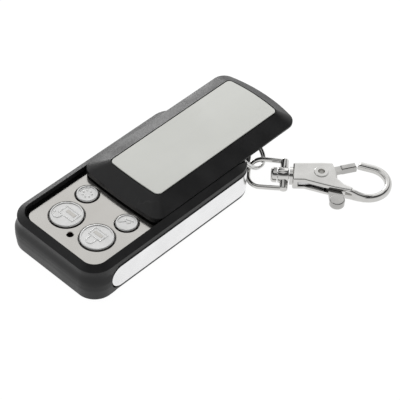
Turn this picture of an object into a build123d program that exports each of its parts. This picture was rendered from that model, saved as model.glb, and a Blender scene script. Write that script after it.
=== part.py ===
from build123d import *
import math
import os

os.makedirs("parts", exist_ok=True)

# Millimetres. The nose with the buttons points to -X, the keyring end to +X, and the
# underside lies at Z 0 with the origin under the casing, near its middle.

# Casing; its length follows from the keypad and the battery, which lie end to end
casing_half_width = 17.0
nose_corner_radius = 6.2
tail_corner_radius = 6.5
tail_bow = 1.4
belt_z = 8.46
casing_wall = 1.8
floor_thickness = 1.2
underside_radius = 0.7
shell_fit = 0.1
belt_groove_height = 0.65
belt_groove_depth = 0.3

# Rim, deck and battery hump of the upper shell
rim_foot_z = 10.41
rim_top_z = 11.62
rim_width = 2.1
deck_thickness = 1.0
deck_top_z = 8.87
hump_front_gap = 0.5
hump_side_gap = 1.8
hump_top_z = 11.2
hump_roof = 0.75
hump_wall = 1.2
hump_chamfer = 0.6

# Bumper round the nose, on the lower shell: it bulges and dies out along the sides
bumper_proud = 0.65
bumper_side_proud = 0.5
bumper_side_run = 11.5
bumper_fade_run = 3.0
bumper_top_z = 8.0
bumper_full_z = 6.1
bumper_waist_z = 3.9
bumper_foot_inset = 0.4
bumper_foot_radius = 0.8
bumper_bend_radius = 3.5

# Bright strips in both sides, round at the front
strip_front_inset = 6.57
strip_foot_z = 1.35
strip_thickness = 0.85
strip_proud = 0.1
strip_gap = 0.05
strip_nose_gap = 0.45
strip_end_inset = 4.6

# Keypad
plate_front_gap = 3.1
plate_length = 26.7
plate_side_gap = 1.1
plate_thickness = 0.9
plate_corner_radius = 3.0
plate_edge_chamfer = 0.15
large_button_x = 11.6
large_button_y = 5.95
large_cap_radius = 4.75
small_button_x = 21.0
small_button_y = 7.77
small_cap_radius = 3.11
cap_gap = 0.35
cap_proud = 0.44
cap_edge_radius = 0.3
cap_rim_width = 0.5
cap_dish_depth = 0.18
cap_flange = 0.7
cap_flange_thickness = 0.8
stem_radius = 1.6
button_travel = 0.3
led_x = 7.3
led_hole_radius = 0.93

# Circuit board and what it carries
board_foot_z = 3.2
board_thickness = 1.0
board_edge_gap = 0.4
board_front_gap = 5.95
board_post_radius = 0.95
board_post_inset = 1.5
arm_edge_y = 10.7
arm_inner_y = 0.5
switch_size = 6.0
switch_height = 1.7
plunger_radius = 1.5
plunger_reach = 0.45
plunger_sink = 0.25
plunger_gap = 0.15
led_radius = 1.5

# Battery
battery_radius = 4.0
battery_length = 28.0
battery_y = -5.8
battery_z = 6.3
battery_nose_radius = 2.4
battery_nose_height = 1.0
battery_edge_chamfer = 0.4
battery_end_gap = 1.35
contact_thickness = 0.4
contact_half_width = 3.2
cradle_shares = (0.25, 0.75)

# Radio parts on the arm beside the battery, placed by shares of the battery's length
radio_chip_share = 0.22
radio_chip_size = (8.6, 3.9)
memory_chip_size = (3.0, 1.6)
chip_height = 1.5
chip_chamfer = 0.2
crystal_share = 0.54
crystal_size = (8.0, 3.4)
crystal_height = 3.2
crystal_edge_radius = 0.4
crystal_offset = 2.2
coil_share = 0.73
coil_radius = 1.6
coil_wire_radius = 0.3
coil_pitch = 1.1
coil_turns = 4

# Case screws
screw_head_radius = 1.45
screw_head_height = 1.3
screw_head_gap = 0.1
screw_shank_radius = 0.85
screw_length = 6.0
boss_radius = 1.9
boss_joint_z = 3.6
front_screw_inset = 3.9
front_screw_side_inset = 6.0
rear_screw_inset = 8.8
rear_screw_side_inset = 4.1

# Sliding cover, drawn open
cover_travel = 23.0
cover_stop_gap = 0.15
cover_length = 59.1
cover_side_inset = 2.31
cover_nose_bow = 0.6
cover_tail_bow = 2.3
cover_nose_corner = 3.0
cover_tail_corner = 4.0
cover_edge_z = 11.4
cover_edge_height = 0.56
cover_height = 2.5
cover_front_slope = 5.75
cover_side_slope = 5.26
cover_tail_slope = 4.2
cover_top_corner = 1.5
cover_top_bow = 0.78
cover_wall = 0.69
cover_flank_drop = 1.0
cover_roof = 1.0
front_wall_thickness = 1.2
button_top_clearance = 0.19
cover_plate_thickness = 0.8
cover_groove = 0.3
skirt_thickness = 0.65
skirt_edge_inset = 0.04
skirt_length = 31.0
lip_width = 0.75
lip_height = 0.75
rail_gap = 0.25
rail_height_gap = 0.15

# Keyring lug
lug_reach = 3.2
lug_thickness = 1.8
lug_side_inset = 6.4
lug_foot_z = 3.6
lug_top_z = 8.42
lug_corner_radius = 2.0
slot_width = 2.5
slot_foot_z = 4.15
slot_top_z = 7.95
slot_corner_radius = 0.5
slot_outer_wall = 1.2

# Split ring: it passes the lug's slot and leans away from the casing
ring_radius = 5.0
ring_wire_radius = 0.4
ring_coil_pitch = 0.75
ring_end_gap = 0.4
ring_end_turns = (70, 95)
ring_back_shift = 0.06
ring_rise = 0.23
ring_heading = 13.7
ring_dip = -14.8
ring_lean = 37.4

# Snap hook, in its own frame: along its axis, across it, and up
clasp_heading = -50.0
ring_low_along = 4.9
ring_low_across = 5.15
ring_low_drop = 0.5
loop_roll = 15.0
loop_wire_radius = 0.7
loop_width = 10.4
loop_length = 11.6
loop_near_end = 0.75
loop_corner_radius = 4.6
loop_bar_width = 2.6
boss_start = 9.2
boss_length = 3.2
loop_boss_radius = 2.7
swivel_gap = 0.2
swivel_bore_gap = 0.1
post_radius = 1.0
post_grip = 2.0
rivet_radius = 2.2
rivet_thickness = 1.8
collar_radius = 2.6
collar_length = 0.9
cheek_half_thickness = 2.0
cheek_edge_radius = 0.5
cheek_corner_radius = 0.5
channel_half_height = 0.85
channel_start = 3.9
channel_end = 15.8
channel_far = 3.2
channel_over = 10.0
channel_corner = 1.0
spring_pocket_depth = 2.4
spring_pocket_far = -2.1
hook_width = 2.1
hook_half_thickness = 1.15
hook_edge_radius = 0.9
hook_start = (13.4, -4.4)
hook_shank_angle = -22.0
hook_shank_length = 5.9
hook_bend_radius = 6.1
hook_bend_angle = 187.0
hook_tip_length = 4.1
pivot_place = (8.1, 0.4)
eyelet_radius = 2.1
eyelet_flange = 0.25
eyelet_shank_radius = 1.5
eyelet_bore_radius = 1.0
eyelet_edge_radius = 0.2
eyelet_gap = 0.05
lever_bore_gap = 0.1
lever_hub_radius = 2.5
lever_half_thickness = 0.7
lever_arm_width = 2.0
gate_knee = (12.0, 3.0)
gate_end = (17.95, 5.25)
gate_half_thickness = 1.1
gate_thick_start = 0.3
gate_edge_radius = 0.4
grip_place = (12.8, -9.2)
grip_radius = 2.2
spring_thickness = 0.3
spring_half_height = 0.55
spring_route = ((1.7, -2.7), (5.5, -2.5), (9.25, -3.75))

# Places that follow from the sizes above
keypad_room = plate_front_gap + plate_length + hump_front_gap
battery_room = hump_wall + 2 * contact_thickness + shell_fit + battery_length + battery_end_gap
casing_length = bumper_proud + keypad_room + battery_room + casing_wall
nose_x = -casing_length / 2 + bumper_proud
tail_x = casing_length / 2
deck_foot_z = deck_top_z - deck_thickness
plate_top_z = deck_top_z + plate_thickness
button_top_z = plate_top_z + cap_proud
board_top_z = board_foot_z + board_thickness
switch_top_z = board_top_z + switch_height
flange_foot_z = deck_foot_z - cap_flange_thickness
cover_front_x = nose_x + rim_width + cover_stop_gap + cover_travel
cover_tail_x = cover_front_x + cover_length
cover_flank_z = cover_edge_z + cover_edge_height
cover_top_z = cover_flank_z + cover_height
roof_z = cover_top_z - cover_plate_thickness
front_wall_z = button_top_z + button_top_clearance
plate_rear_x = nose_x + plate_front_gap + plate_length
hump_front_x = plate_rear_x + hump_front_gap
battery_front_x = hump_front_x + hump_wall + contact_thickness + shell_fit
battery_rear_x = battery_front_x + battery_length
board_front_x = nose_x + board_front_gap
board_shoulder_x = battery_front_x - contact_thickness - shell_fit
arm_rear_x = battery_rear_x + contact_thickness + shell_fit
arm_middle_y = (arm_edge_y + arm_inner_y) / 2
strip_top_z = belt_z - strip_gap
slot_x = tail_x + lug_reach - slot_outer_wall - slot_width / 2
slot_middle_z = (slot_foot_z + slot_top_z) / 2
cover_half_width = casing_half_width - cover_side_inset
plate_half_width = casing_half_width - rim_width - plate_side_gap
lug_y = lug_side_inset - casing_half_width
skirt_inner_y = cover_half_width - skirt_thickness - skirt_edge_inset
hump_half_width = skirt_inner_y - hump_side_gap
skirt_outer_y = skirt_inner_y + skirt_thickness
lip_foot_z = deck_top_z + rail_height_gap
lip_outer_y = skirt_outer_y + lip_width
skirt_front_x = cover_front_x + cover_nose_corner
large_buttons = [(nose_x + large_button_x, side * large_button_y) for side in (1, -1)]
small_buttons = [(nose_x + small_button_x, side * small_button_y) for side in (1, -1)]
led_place = (nose_x + led_x, 0)
front_screw_y = casing_half_width - front_screw_side_inset
rear_screw_y = casing_half_width - rear_screw_side_inset
front_screws = [(nose_x + front_screw_inset, side * front_screw_y) for side in (1, -1)]
rear_screws = [(tail_x - rear_screw_inset, side * rear_screw_y) for side in (1, -1)]
screw_places = front_screws + rear_screws
far_y = 2 * casing_half_width


def bowed_outline(front_x, rear_x, half_width, front_bow, rear_bow, front_corner, rear_corner):
    # A long four-sided outline whose ends bow outwards and whose corners are round
    with BuildSketch() as outline:
        with BuildLine():
            front_left = (front_x + front_bow, half_width)
            front_right = (front_x + front_bow, -half_width)
            rear_left = (rear_x - rear_bow, half_width)
            rear_right = (rear_x - rear_bow, -half_width)
            Line(front_right, rear_right)
            ThreePointArc(rear_right, (rear_x, 0), rear_left)
            Line(rear_left, front_left)
            if front_bow > 0:
                ThreePointArc(front_left, (front_x, 0), front_right)
            else:
                Line(front_left, front_right)
        make_face()
        fillet(outline.vertices().group_by(Axis.X)[0], front_corner)
        fillet(outline.vertices().group_by(Axis.X)[-1], rear_corner)
    return outline.sketch


def casing_outline(grow=0.0):
    return bowed_outline(
        nose_x - grow,
        tail_x + grow,
        casing_half_width + grow,
        0.0,
        tail_bow,
        nose_corner_radius + grow,
        tail_corner_radius + grow,
    )


def cover_outline(grow=0.0):
    return bowed_outline(
        cover_front_x - grow,
        cover_tail_x + grow,
        cover_half_width + grow,
        cover_nose_bow,
        cover_tail_bow,
        cover_nose_corner + grow,
        cover_tail_corner + grow,
    )


def cover_top_outline(grow=0.0):
    return bowed_outline(
        cover_front_x + cover_front_slope - grow,
        cover_tail_x - cover_tail_slope + grow,
        cover_half_width - cover_side_slope + grow,
        cover_nose_bow / 2,
        cover_top_bow,
        cover_top_corner + grow,
        cover_top_corner + grow,
    )


def bumper_outline():
    # The nose bulges, and its sides draw in until they lie inside the casing's own
    side_y = casing_half_width + bumper_side_proud
    side_x = nose_x + bumper_side_run - bumper_fade_run
    end_x = nose_x + bumper_side_run
    end_y = casing_half_width - bumper_side_proud
    with BuildSketch() as outline:
        with BuildLine():
            Polyline(
                (nose_x - bumper_proud, -side_y),
                (side_x, -side_y),
                (end_x, -end_y),
                (end_x, end_y),
                (side_x, side_y),
                (nose_x - bumper_proud, side_y),
                close=True,
            )
        make_face()
        fillet(outline.vertices().group_by(Axis.X)[0], nose_corner_radius)
        turns = outline.vertices().filter_by_position(Axis.X, side_x - shell_fit, side_x + shell_fit)
        fillet(turns, bumper_side_run)
    return outline.sketch


def strip_band(outer, inner, foot_z, top_z, gap):
    # A band round one side and the rear corner, with a half-round front end
    end_radius = (strip_top_z - strip_foot_z) / 2
    end_x = nose_x + strip_front_inset + end_radius
    with BuildPart() as band:
        with BuildSketch(Plane.XY.offset(foot_z)):
            add(casing_outline(outer))
            add(casing_outline(inner), mode=Mode.SUBTRACT)
        extrude(amount=top_z - foot_z)
        with BuildSketch(Plane.XZ.offset(casing_half_width - strip_end_inset - strip_gap * (gap > 0))):
            with Locations((end_x, strip_foot_z + end_radius)):
                Circle(end_radius + gap)
                Rectangle(casing_length, 2 * (end_radius + gap), align=(Align.MIN, Align.CENTER))
        extrude(amount=casing_half_width, mode=Mode.INTERSECT)
    return band.part


# Lower shell: tray with bumper, strip recesses, bosses, battery cradle and lug
with BuildPart() as bumper:
    with BuildSketch(Plane.XY.offset(bumper_waist_z)):
        add(bumper_outline())
    extrude(amount=bumper_full_z - bumper_waist_z)
    top_taper = math.degrees(math.atan(bumper_proud / (bumper_top_z - bumper_full_z)))
    extrude(bumper.faces().sort_by(Axis.Z)[-1], amount=bumper_top_z - bumper_full_z, taper=top_taper)
    foot_taper = math.degrees(math.atan(bumper_foot_inset / bumper_waist_z))
    extrude(bumper.faces().sort_by(Axis.Z)[0], amount=bumper_waist_z, taper=foot_taper)
    fillet(bumper.edges().group_by(Axis.Z)[0], bumper_foot_radius)
    for bend_z in (bumper_full_z, bumper_waist_z):
        bend_edges = bumper.edges().filter_by_position(Axis.Z, bend_z - shell_fit, bend_z + shell_fit)
        fillet(bend_edges, bumper_bend_radius)

recess_depth = strip_thickness - strip_proud + strip_gap
recess = strip_band(casing_wall, -recess_depth, strip_foot_z - strip_gap, belt_z, strip_nose_gap)

with BuildPart() as bottom_shell:
    with BuildSketch():
        add(casing_outline())
    extrude(amount=belt_z)
    fillet(bottom_shell.edges().group_by(Axis.Z)[0], underside_radius)
    add(bumper.part)
    add(recess, mode=Mode.SUBTRACT)
    mirror(recess, about=Plane.XZ, mode=Mode.SUBTRACT)
    # Lug: an upright ear with a slot, standing out from the rear wall
    with BuildSketch(Plane.XZ.offset(-lug_y - lug_thickness / 2)) as ear:
        with BuildLine():
            Polyline(
                (tail_x - casing_wall, lug_foot_z),
                (tail_x + lug_reach, lug_foot_z),
                (tail_x + lug_reach, lug_top_z),
                (tail_x - casing_wall, lug_top_z),
                close=True,
            )
        make_face()
        fillet(ear.vertices().group_by(Axis.X)[-1], lug_corner_radius)
    extrude(amount=lug_thickness)
    with BuildSketch(Plane.XZ.offset(-lug_y - lug_thickness / 2)):
        with Locations((slot_x, slot_middle_z)):
            RectangleRounded(slot_width, slot_top_z - slot_foot_z, slot_corner_radius)
    extrude(amount=lug_thickness, mode=Mode.SUBTRACT)
    # The tray's inside
    with BuildSketch(Plane.XY.offset(floor_thickness)):
        add(casing_outline(-casing_wall))
    extrude(amount=belt_z, mode=Mode.SUBTRACT)
    # Screw bosses and posts under the circuit board
    with BuildSketch(Plane.XY.offset(floor_thickness)):
        with Locations(*screw_places):
            Circle(boss_radius)
    extrude(amount=boss_joint_z - floor_thickness)
    post_x = (board_front_x + board_post_inset, board_shoulder_x - board_post_inset)
    with BuildSketch(Plane.XY.offset(floor_thickness)):
        with Locations(*[(x, side * arm_edge_y) for x in post_x for side in (1, -1)]):
            Circle(board_post_radius)
        with Locations((arm_rear_x - board_post_inset, arm_edge_y / 2)):
            Circle(board_post_radius)
    extrude(amount=board_foot_z - floor_thickness)
    # Two cradle ribs hold the battery
    for share in cradle_shares:
        rib_plane = Plane.YZ.offset(battery_front_x + battery_length * share - hump_wall / 2)
        with BuildSketch(rib_plane):
            with Locations((battery_y, floor_thickness)):
                Rectangle(2 * contact_half_width, battery_z - battery_radius, align=(Align.CENTER, Align.MIN))
            with Locations((battery_y, battery_z)):
                Circle(battery_radius + shell_fit, mode=Mode.SUBTRACT)
        extrude(amount=hump_wall)
    # Screw holes with sunk heads
    with BuildSketch(Plane.XY):
        with Locations(*screw_places):
            Circle(screw_shank_radius + shell_fit)
    extrude(amount=boss_joint_z, mode=Mode.SUBTRACT)
    with BuildSketch(Plane.XY):
        with Locations(*screw_places):
            Circle(screw_head_radius + screw_head_gap)
    extrude(amount=screw_head_height + screw_head_gap, mode=Mode.SUBTRACT)
bottom_shell.part.label = "bottom_shell"

# Side strips: bright bands let into the sides and round the rear corners
with BuildPart() as side_strip_right:
    add(strip_band(strip_proud, strip_proud - strip_thickness, strip_foot_z, strip_top_z, 0))
side_strip_right.part.label = "side_strip_right"

with BuildPart() as side_strip_left:
    mirror(side_strip_right.part, about=Plane.XZ)
side_strip_left.part.label = "side_strip_left"

# Upper shell: sloping rim, sunken deck open to the rear, rail grooves and battery hump
rim_slope_angle = math.degrees(math.atan(rim_width / (rim_top_z - rim_foot_z)))
recess_half_width = casing_half_width - rim_width
with BuildPart() as top_shell:
    with BuildSketch(Plane.XY.offset(belt_z)):
        add(casing_outline(-belt_groove_depth))
    extrude(amount=belt_groove_height)
    with BuildSketch(Plane.XY.offset(belt_z + belt_groove_height)):
        add(casing_outline())
    extrude(amount=rim_foot_z - belt_z - belt_groove_height)
    with BuildSketch(Plane.XY.offset(rim_foot_z)):
        add(casing_outline())
    extrude(amount=rim_top_z - rim_foot_z, taper=rim_slope_angle)
    with BuildSketch(Plane.XY.offset(deck_foot_z)):
        add(casing_outline(-casing_wall - shell_fit))
    extrude(amount=belt_z - deck_foot_z)
    # The deck is sunk between the rims and runs out at the rear
    with BuildSketch(Plane.XY.offset(deck_top_z)) as deck:
        with BuildLine():
            Polyline(
                (nose_x + rim_width, -recess_half_width),
                (tail_x + rim_width, -recess_half_width),
                (tail_x + rim_width, recess_half_width),
                (nose_x + rim_width, recess_half_width),
                close=True,
            )
        make_face()
        fillet(deck.vertices().group_by(Axis.X)[0], nose_corner_radius - rim_width)
    extrude(amount=rim_top_z, mode=Mode.SUBTRACT)
    # Grooves under both rims take the cover's lips
    groove_front_x = skirt_front_x - cover_travel - rail_gap
    groove_half_width = lip_outer_y + rail_gap
    with BuildSketch(Plane.XY.offset(deck_top_z)):
        with Locations((groove_front_x, 0)):
            Rectangle(casing_length, 2 * groove_half_width, align=(Align.MIN, Align.CENTER))
    extrude(amount=lip_height + 2 * rail_height_gap, mode=Mode.SUBTRACT)
    # Battery hump
    with BuildSketch(Plane.XY.offset(deck_top_z)):
        add(casing_outline())
        with Locations((hump_front_x, 0)):
            Rectangle(
                casing_length,
                2 * hump_half_width,
                align=(Align.MIN, Align.CENTER),
                mode=Mode.INTERSECT,
            )
    extrude(amount=hump_top_z - deck_top_z)
    chamfer(top_shell.faces().filter_by(Plane.XY).group_by(Axis.Z)[-1].edges(), hump_chamfer)
    with BuildSketch(Plane.XY.offset(deck_foot_z)):
        add(casing_outline(-casing_wall))
        with Locations((hump_front_x + hump_wall, 0)):
            Rectangle(
                casing_length,
                2 * (hump_half_width - hump_wall),
                align=(Align.MIN, Align.CENTER),
                mode=Mode.INTERSECT,
            )
    extrude(amount=hump_top_z - hump_roof - deck_foot_z, mode=Mode.SUBTRACT)
    # Screw bosses hang down to those of the lower shell
    with BuildSketch(Plane.XY.offset(boss_joint_z)):
        with Locations(*screw_places):
            Circle(boss_radius)
            Circle(screw_shank_radius, mode=Mode.SUBTRACT)
    extrude(amount=deck_foot_z - boss_joint_z)
    # Openings for the buttons and the lamp
    with BuildSketch(Plane.XY.offset(deck_foot_z)):
        with Locations(*large_buttons):
            Circle(large_cap_radius + cap_gap)
        with Locations(*small_buttons):
            Circle(small_cap_radius + cap_gap)
        with Locations(led_place):
            Circle(led_hole_radius)
    extrude(amount=deck_thickness, mode=Mode.SUBTRACT)
top_shell.part.label = "top_shell"

# Keypad plate, lying on the deck in front of the hump
with BuildPart() as keypad_plate:
    with BuildSketch(Plane.XY.offset(deck_top_z)) as plate_face:
        with Locations((nose_x + plate_front_gap, 0)):
            Rectangle(plate_length, 2 * plate_half_width, align=(Align.MIN, Align.CENTER))
        fillet(plate_face.vertices().group_by(Axis.X)[0], plate_corner_radius)
        with Locations(*large_buttons):
            Circle(large_cap_radius + cap_gap, mode=Mode.SUBTRACT)
        with Locations(*small_buttons):
            Circle(small_cap_radius + cap_gap, mode=Mode.SUBTRACT)
        with Locations(led_place):
            Circle(led_hole_radius, mode=Mode.SUBTRACT)
    extrude(amount=plate_thickness)
    chamfer(keypad_plate.edges().group_by(Axis.Z)[-1], plate_edge_chamfer)
keypad_plate.part.label = "keypad_plate"


def button_cap(place, radius):
    # Cap with a dished top, retaining flange under the deck, and stem down to its switch
    with BuildPart() as cap:
        with BuildSketch(Plane.XY.offset(deck_foot_z)):
            with Locations(place):
                Circle(radius)
        extrude(amount=button_top_z - deck_foot_z)
        fillet(cap.edges().group_by(Axis.Z)[-1], cap_edge_radius)
        with BuildSketch(Plane.XY.offset(button_top_z - cap_dish_depth)):
            with Locations(place):
                Circle(radius - cap_rim_width)
        extrude(amount=cap_dish_depth, mode=Mode.SUBTRACT)
        with BuildSketch(Plane.XY.offset(flange_foot_z)):
            with Locations(place):
                Circle(radius + cap_flange)
        extrude(amount=cap_flange_thickness)
        with BuildSketch(Plane.XY.offset(switch_top_z + plunger_reach)):
            with Locations(place):
                Circle(stem_radius)
        extrude(amount=flange_foot_z - switch_top_z - plunger_reach)
    return cap.part


def switch_plunger(place):
    with BuildPart() as plunger:
        with BuildSketch(Plane.XY.offset(switch_top_z - plunger_sink)):
            with Locations(place):
                Circle(plunger_radius)
        extrude(amount=plunger_reach + plunger_sink)
    return plunger.part


button_places = {
    "lock_open": (large_buttons[0], large_cap_radius),
    "lock_closed": (large_buttons[1], large_cap_radius),
    "dial": (small_buttons[0], small_cap_radius),
    "bolt": (small_buttons[1], small_cap_radius),
}
button_parts = []
for button_name, (place, radius) in button_places.items():
    cap_part = button_cap(place, radius)
    cap_part.label = "button_" + button_name
    plunger_part = switch_plunger(place)
    plunger_part.label = "plunger_" + button_name
    button_parts += [cap_part, plunger_part]

# Circuit board: full width under the keypad, an arm beside the battery
with BuildPart() as circuit_board:
    with BuildSketch(Plane.XY.offset(board_foot_z)):
        with Locations((board_front_x, 0)):
            Rectangle(
                board_shoulder_x - board_front_x,
                2 * (casing_half_width - casing_wall - board_edge_gap),
                align=(Align.MIN, Align.CENTER),
            )
        with Locations((board_front_x, arm_inner_y)):
            Rectangle(arm_rear_x - board_front_x, arm_edge_y - arm_inner_y, align=(Align.MIN, Align.MIN))
    extrude(amount=board_thickness)
circuit_board.part.label = "circuit_board"

with BuildPart() as tact_switches:
    with BuildSketch(Plane.XY.offset(board_top_z)):
        with Locations(*large_buttons, *small_buttons):
            Rectangle(switch_size, switch_size)
    extrude(amount=switch_height)
    with BuildSketch(Plane.XY.offset(switch_top_z)):
        with Locations(*large_buttons, *small_buttons):
            Circle(plunger_radius + plunger_gap)
    extrude(amount=-(plunger_sink + button_travel + plunger_gap), mode=Mode.SUBTRACT)
tact_switches.part.label = "tact_switches"

with BuildPart() as status_led:
    with BuildSketch(Plane.XY.offset(board_top_z)):
        with Locations(led_place):
            Circle(led_radius)
    extrude(amount=deck_foot_z - shell_fit - board_top_z)
    fillet(status_led.edges().group_by(Axis.Z)[-1], led_radius - led_hole_radius / 2)
status_led.part.label = "status_led"

# Battery with its raised nose, between two contact blades that stand on the board
with BuildPart() as battery:
    with BuildSketch(Plane.YZ.offset(battery_front_x + battery_nose_height)):
        with Locations((battery_y, battery_z)):
            Circle(battery_radius)
    extrude(amount=battery_length - battery_nose_height)
    chamfer(battery.edges().filter_by(GeomType.CIRCLE), battery_edge_chamfer)
    with BuildSketch(Plane.YZ.offset(battery_front_x)):
        with Locations((battery_y, battery_z)):
            Circle(battery_nose_radius)
    extrude(amount=battery_nose_height)
battery.part.label = "battery"

with BuildPart() as battery_contacts:
    contact_foot = (battery_y - contact_half_width, board_top_z)
    contact_width = arm_inner_y + 2 * stem_radius - battery_y + contact_half_width
    contact_height = battery_z + contact_half_width - board_top_z
    for contact_x in (battery_front_x - contact_thickness, battery_rear_x):
        with BuildSketch(Plane.YZ.offset(contact_x)):
            with Locations(contact_foot):
                Rectangle(contact_width, contact_height, align=(Align.MIN, Align.MIN))
        extrude(amount=contact_thickness)
battery_contacts.part.label = "battery_contacts"

# Parts on the board's arm
crystal_x = battery_front_x + battery_length * crystal_share
with BuildPart() as chips:
    with BuildSketch(Plane.XY.offset(board_top_z)):
        with Locations((battery_front_x + battery_length * radio_chip_share, arm_middle_y)):
            Rectangle(*radio_chip_size)
        with Locations((crystal_x, arm_middle_y + crystal_offset)):
            Rectangle(*memory_chip_size)
    extrude(amount=chip_height)
    chamfer(chips.edges().group_by(Axis.Z)[-1], chip_chamfer)
chips.part.label = "chips"

with BuildPart() as crystal:
    with BuildSketch(Plane.XY.offset(board_top_z)):
        with Locations((crystal_x, arm_middle_y - crystal_offset)):
            SlotOverall(*crystal_size)
    extrude(amount=crystal_height)
    fillet(crystal.edges().group_by(Axis.Z)[-1], crystal_edge_radius)
crystal.part.label = "crystal"

# Aerial: a small air-wound coil with its axis along the casing
coil_x = battery_front_x + battery_length * coil_share
coil_z = board_top_z + coil_radius + coil_wire_radius
with BuildPart() as antenna_coil:
    coil_plane = Plane(origin=(coil_x, arm_middle_y, coil_z), x_dir=(0, 1, 0), z_dir=(1, 0, 0))
    coil_path = coil_plane * Helix(coil_pitch, coil_pitch * coil_turns, coil_radius)
    with BuildSketch(Plane(origin=coil_path @ 0, z_dir=coil_path % 0)):
        RegularPolygon(coil_wire_radius, 4)
    sweep(path=coil_path)
antenna_coil.part.label = "antenna_coil"

with BuildPart() as case_screws:
    with BuildSketch(Plane.XY.offset(screw_head_gap)):
        with Locations(*screw_places):
            Circle(screw_head_radius)
    extrude(amount=screw_head_height)
    with BuildSketch(Plane.XY.offset(screw_head_gap)):
        with Locations(*screw_places):
            Circle(screw_shank_radius)
    extrude(amount=screw_length)
case_screws.part.label = "case_screws"

# Sliding cover: a sloping shell on two skirts whose lips run in the rim grooves
with BuildPart() as cover_hollow:
    with BuildSketch(Plane.XY.offset(cover_flank_z - cover_flank_drop)):
        add(cover_outline())
    with BuildSketch(Plane.XY.offset(cover_top_z - cover_flank_drop)):
        add(cover_top_outline())
    loft(ruled=True)
    with BuildSketch(Plane.XY.offset(lip_foot_z)):
        add(cover_outline())
    extrude(amount=cover_flank_z - cover_flank_drop - lip_foot_z)
    with BuildSketch(Plane.XY.offset(lip_foot_z)):
        add(cover_outline(-cover_wall))
    extrude(amount=roof_z - cover_roof - lip_foot_z, mode=Mode.INTERSECT)

with BuildPart() as cover_shell:
    with BuildSketch(Plane.XY.offset(cover_edge_z)):
        add(cover_outline())
    extrude(amount=cover_edge_height)
    with BuildSketch(Plane.XY.offset(cover_flank_z)):
        add(cover_outline())
    with BuildSketch(Plane.XY.offset(cover_top_z)):
        add(cover_top_outline())
    loft(ruled=True)
    add(cover_hollow.part, mode=Mode.SUBTRACT)
    # The plate's bed, and a land just below the plate's face
    with BuildSketch(Plane.XY.offset(roof_z)):
        add(cover_top_outline(cover_groove))
    extrude(amount=cover_top_z, mode=Mode.SUBTRACT)
    # Front wall, reaching down to just above the buttons
    with BuildSketch(Plane.XY.offset(front_wall_z)):
        add(cover_outline())
        with Locations((cover_front_x, 0)):
            Rectangle(
                2 * (front_wall_thickness + cover_nose_bow), far_y, mode=Mode.INTERSECT
            )
    extrude(amount=cover_edge_z + cover_edge_height / 2 - front_wall_z)
    for side in (1, -1):
        skirt_y = side * (skirt_inner_y + skirt_thickness / 2)
        with BuildSketch(Plane.XY.offset(lip_foot_z)):
            with Locations((skirt_front_x, skirt_y)):
                Rectangle(skirt_length, skirt_thickness, align=(Align.MIN, Align.CENTER))
        extrude(amount=cover_flank_z - lip_foot_z)
        lip_y = side * (skirt_outer_y + lip_width / 2)
        with BuildSketch(Plane.XY.offset(lip_foot_z)):
            with Locations((skirt_front_x, lip_y)):
                Rectangle(skirt_length, lip_width, align=(Align.MIN, Align.CENTER))
        extrude(amount=lip_height)
cover_shell.part.label = "cover_shell"

with BuildPart() as cover_plate:
    with BuildSketch(Plane.XY.offset(roof_z)):
        add(cover_top_outline())
    extrude(amount=cover_plate_thickness)
    chamfer(cover_plate.edges().group_by(Axis.Z)[-1], plate_edge_chamfer)
cover_plate.part.label = "cover_plate"

# Split ring: two coils lying side by side, in the plane that passes the lug's slot
heading = math.radians(ring_heading)
dip = math.radians(ring_dip)
lean = math.radians(ring_lean)
ring_out = Vector(math.cos(dip) * math.cos(heading), math.cos(dip) * math.sin(heading), math.sin(dip))
ring_level = Vector(-math.sin(heading), math.cos(heading), 0)
ring_across = ring_level * math.cos(lean) + ring_out.cross(ring_level) * math.sin(lean)
ring_pass = Vector(slot_x - ring_back_shift, lug_y, slot_middle_z + ring_rise)
ring_centre = ring_pass + ring_out * ring_radius
ring_plane = Plane(origin=ring_centre, x_dir=ring_out, z_dir=ring_out.cross(ring_across))
with BuildPart() as split_ring:
    ring_section = Plane(origin=ring_centre, x_dir=ring_plane.x_dir, z_dir=-ring_plane.y_dir)
    with BuildSketch(ring_section):
        with Locations((ring_radius, ring_coil_pitch / 2), (ring_radius, -ring_coil_pitch / 2)):
            Circle(ring_wire_radius)
    revolve(axis=Axis(ring_centre, ring_plane.z_dir))
    # Each coil has one open end, a short gap in its half of the ring
    for turn, side in zip(ring_end_turns, (1, -1)):
        gap_place = ring_plane * Rot(0, 0, turn) * Pos(ring_radius, 0, side * ring_coil_pitch / 2)
        with Locations(gap_place):
            Box(ring_coil_pitch + ring_end_gap, ring_end_gap, ring_coil_pitch, mode=Mode.SUBTRACT)
split_ring.part.label = "split_ring"

# The clasp's frame follows the lowest point of the ring, which carries its loop
downhill = (Vector(0, 0, -1) + ring_plane.z_dir * ring_plane.z_dir.Z).normalized()
ring_low = ring_centre + downhill * ring_radius
clasp_angle = math.radians(clasp_heading)
clasp_along = Vector(math.cos(clasp_angle), math.sin(clasp_angle), 0)
clasp_across = Vector(-math.sin(clasp_angle), math.cos(clasp_angle), 0)
clasp_shift = clasp_along * ring_low_along + clasp_across * ring_low_across
clasp_origin = ring_low - clasp_shift + Vector(0, 0, ring_low_drop)
clasp_plane = Plane(origin=clasp_origin, x_dir=clasp_along, z_dir=(0, 0, 1))
clasp_end_plane = Plane(origin=clasp_origin, x_dir=clasp_across, z_dir=clasp_along)
roll = math.radians(loop_roll)
loop_normal = clasp_across * -math.sin(roll) + Vector(0, 0, math.cos(roll))
loop_plane = Plane(origin=clasp_origin, x_dir=clasp_along, z_dir=loop_normal)

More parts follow.
